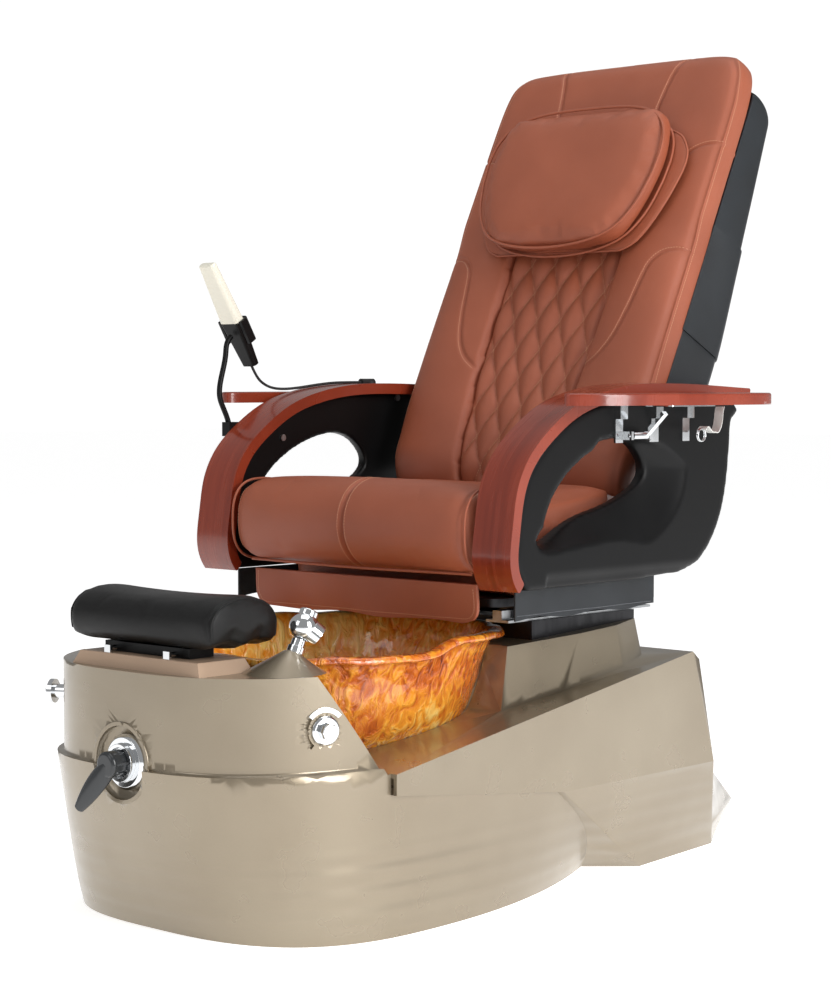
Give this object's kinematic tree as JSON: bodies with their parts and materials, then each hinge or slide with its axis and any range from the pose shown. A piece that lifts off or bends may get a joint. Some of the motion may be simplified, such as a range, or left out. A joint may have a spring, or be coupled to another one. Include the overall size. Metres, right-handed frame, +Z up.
{
  "type": "pedicure spa chair",
  "caption": "Foot spa chair: reclining massage seat with armrests and folding trays on a moulded base with a glass foot basin, mixer tap, hand sprayer and footrest.",
  "frame": {"origin": "on the floor under the middle of the base, at the centre foot of its floor frame", "axes": "+Z up, the sitter faces -Y, +X is the sitter's left"},
  "size_m": [1.044, 1.478, 1.4855],
  "materials": {
    "base_paint": "satin metallic champagne paint over a moulded shell",
    "frame_steel": "black powder coat",
    "zinc_steel": "zinc plated, brushed",
    "chrome": "polished chrome",
    "amber_glass": "amber crackle glass",
    "brown_leather": "cognac grain leather, stitched",
    "black_leather": "black grain leather",
    "black_plastic": "moulded, fine texture",
    "cherry_wood": "cherry stain under gloss lacquer",
    "dark_plastic": "dark grey gloss",
    "cream_plastic": "cream, translucent rim",
    "black_rubber": "matt",
    "white_pipe": "moulded pipe",
    "roller_foam": "dense roller tyre"
  },
  "bodies": {
    "base": {"base_shell": "base_paint", "floor_frame": "zinc_steel", "basin": "amber_glass", "basin_gasket": "black_rubber", "drain_flange": "chrome", "drain_pipe": "white_pipe", "jet_motor": "dark_plastic", "jet_cover": "chrome", "mixer_escutcheon": "chrome", "mixer_valve": "zinc_steel", "drain_bezel": "chrome", "button_bezel": "chrome", "footrest_plinth": "base_paint", "footrest_rods": "chrome", "sprayer_fairing": "base_paint", "pedestal_frame": "frame_steel", "lower_rails": "zinc_steel"},
    "mixer_lever": {"mixer_handle": "dark_plastic"},
    "waste_knob": {"drain_knob": "chrome"},
    "waste_plug": {"drain_stopper": "chrome"},
    "jet_switch": {"jet_button": "chrome"},
    "sprayer": {"sprayer_neck": "chrome"},
    "spray_head": {"sprayer_head": "chrome"},
    "footrest": {"footrest_carriage": "black_plastic", "footrest_cushion": "black_leather"},
    "seat": {"upper_rails": "frame_steel", "seat_pan": "frame_steel", "arm_left": "cherry_wood", "arm_right": "cherry_wood", "panel_left": "black_plastic", "panel_right": "black_plastic", "arm_screws": "zinc_steel", "seat_cushion": "brown_leather", "seat_roll": "brown_leather", "seat_apron": "brown_leather", "skirts": "black_leather", "recline_drive": "dark_plastic", "tray_hinges": "chrome", "remote_grip": "dark_plastic", "remote_case": "cream_plastic", "remote_cradle": "black_plastic", "gooseneck": "black_plastic", "cable_grommet": "black_rubber", "remote_cable": "black_rubber"},
    "back": {"back_pad": "brown_leather", "back_shell": "black_leather", "back_frame": "frame_steel", "massage_guides": "zinc_steel", "lift_motor": "dark_plastic"},
    "screw": {"lead_screw": "zinc_steel"},
    "carriage": {"massage_carriage": "dark_plastic"},
    "kneader": {"knead_shaft": "zinc_steel", "rollers": "roller_foam"},
    "pillow": {"head_pillow": "brown_leather"},
    "left_tray": {"tray_left": "cherry_wood", "tray_plate_left": "chrome"},
    "right_tray": {"tray_right": "cherry_wood", "tray_plate_right": "chrome"},
    "left_stay": {"stay_left": "chrome"},
    "right_stay": {"stay_right": "chrome"}
  },
  "joints": [
    {"name": "mixer_turn", "type": "hinge", "parent": "base", "child": "mixer_lever", "pos_m": [0, -0.742, 0.272], "axis": [0, -1, 0], "range_deg": [0, 110]},
    {"name": "waste_turn", "type": "hinge", "parent": "base", "child": "waste_knob", "pos_m": [0.281, -0.567, 0.332], "axis": [0.9379, -0.347, 0], "range_deg": [0, 90]},
    {"name": "plug_lift", "type": "slide", "parent": "base", "child": "waste_plug", "axis": [0, 0, 1], "range_m": [0, 0.0101]},
    {"name": "jet_push", "type": "slide", "parent": "base", "child": "jet_switch", "axis": [0.889, 0.458, 0], "range_m": [0, 0.004], "stiffness_N_per_m": 500},
    {"name": "sprayer_lift", "type": "slide", "parent": "base", "child": "sprayer", "axis": [0, 0.4695, 0.8829], "range_m": [0, 0.11]},
    {"name": "spray_swivel", "type": "hinge", "parent": "sprayer", "child": "spray_head", "pos_m": [0.2, -0.568, 0.415], "axis": [0, 0.4695, 0.8829], "range_deg": [-90, 60]},
    {"name": "footrest_slide", "type": "slide", "parent": "base", "child": "footrest", "axis": [0, 1, 0], "range_m": [-0.014, 0.014]},
    {"name": "seat_slide", "type": "slide", "parent": "base", "child": "seat", "axis": [0, 1, 0], "range_m": [-0.03, 0.1]},
    {"name": "recline", "type": "hinge", "parent": "seat", "child": "back", "pos_m": [0, 0.262, 0.6], "axis": [-1, 0, 0], "range_deg": [-4, 28]},
    {"name": "carriage_climb", "type": "slide", "parent": "back", "child": "carriage", "axis": [0, 0.4472, 0.8944], "range_m": [0, 0.3]},
    {"name": "screw_spin", "type": "hinge", "parent": "back", "child": "screw", "pos_m": [0, 0.27821, 0.70197], "axis": [0, 0.4472, 0.8944], "range_deg": [0, 5402]},
    {"name": "knead_spin", "type": "hinge", "parent": "carriage", "child": "kneader", "pos_m": [0, 0.34551, 0.88578], "axis": [1, 0, 0], "continuous": true},
    {"name": "pillow_height", "type": "slide", "parent": "back", "child": "pillow", "axis": [0, 0.4472, 0.8944], "range_m": [-0.05, 0.03]},
    {"name": "left_tray_fold", "type": "hinge", "parent": "seat", "child": "left_tray", "pos_m": [0.381, 0.14, 0.832], "axis": [0, 1, 0], "range_deg": [0, 42]},
    {"name": "right_tray_fold", "type": "hinge", "parent": "seat", "child": "right_tray", "pos_m": [-0.381, 0.14, 0.832], "axis": [0, -1, 0], "range_deg": [0, 42]},
    {"name": "left_stay_turn", "type": "hinge", "parent": "seat", "child": "left_stay", "pos_m": [0.384, 0.082, 0.772], "axis": [0, 1, 0], "range_deg": [0, 65.2]},
    {"name": "right_stay_turn", "type": "hinge", "parent": "seat", "child": "right_stay", "pos_m": [-0.384, 0.082, 0.772], "axis": [0, -1, 0], "range_deg": [0, 65.2]}
  ],
  "couplings": [
    {"joint": "plug_lift", "follows": "waste_turn", "m_per_rad": 0.006366},
    {"joint": "screw_spin", "follows": "carriage_climb", "rad_per_m": 314.16},
    {"joint": "left_stay_turn", "follows": "left_tray_fold", "ratio": 1.55},
    {"joint": "right_stay_turn", "follows": "right_tray_fold", "ratio": 1.55}
  ]
}
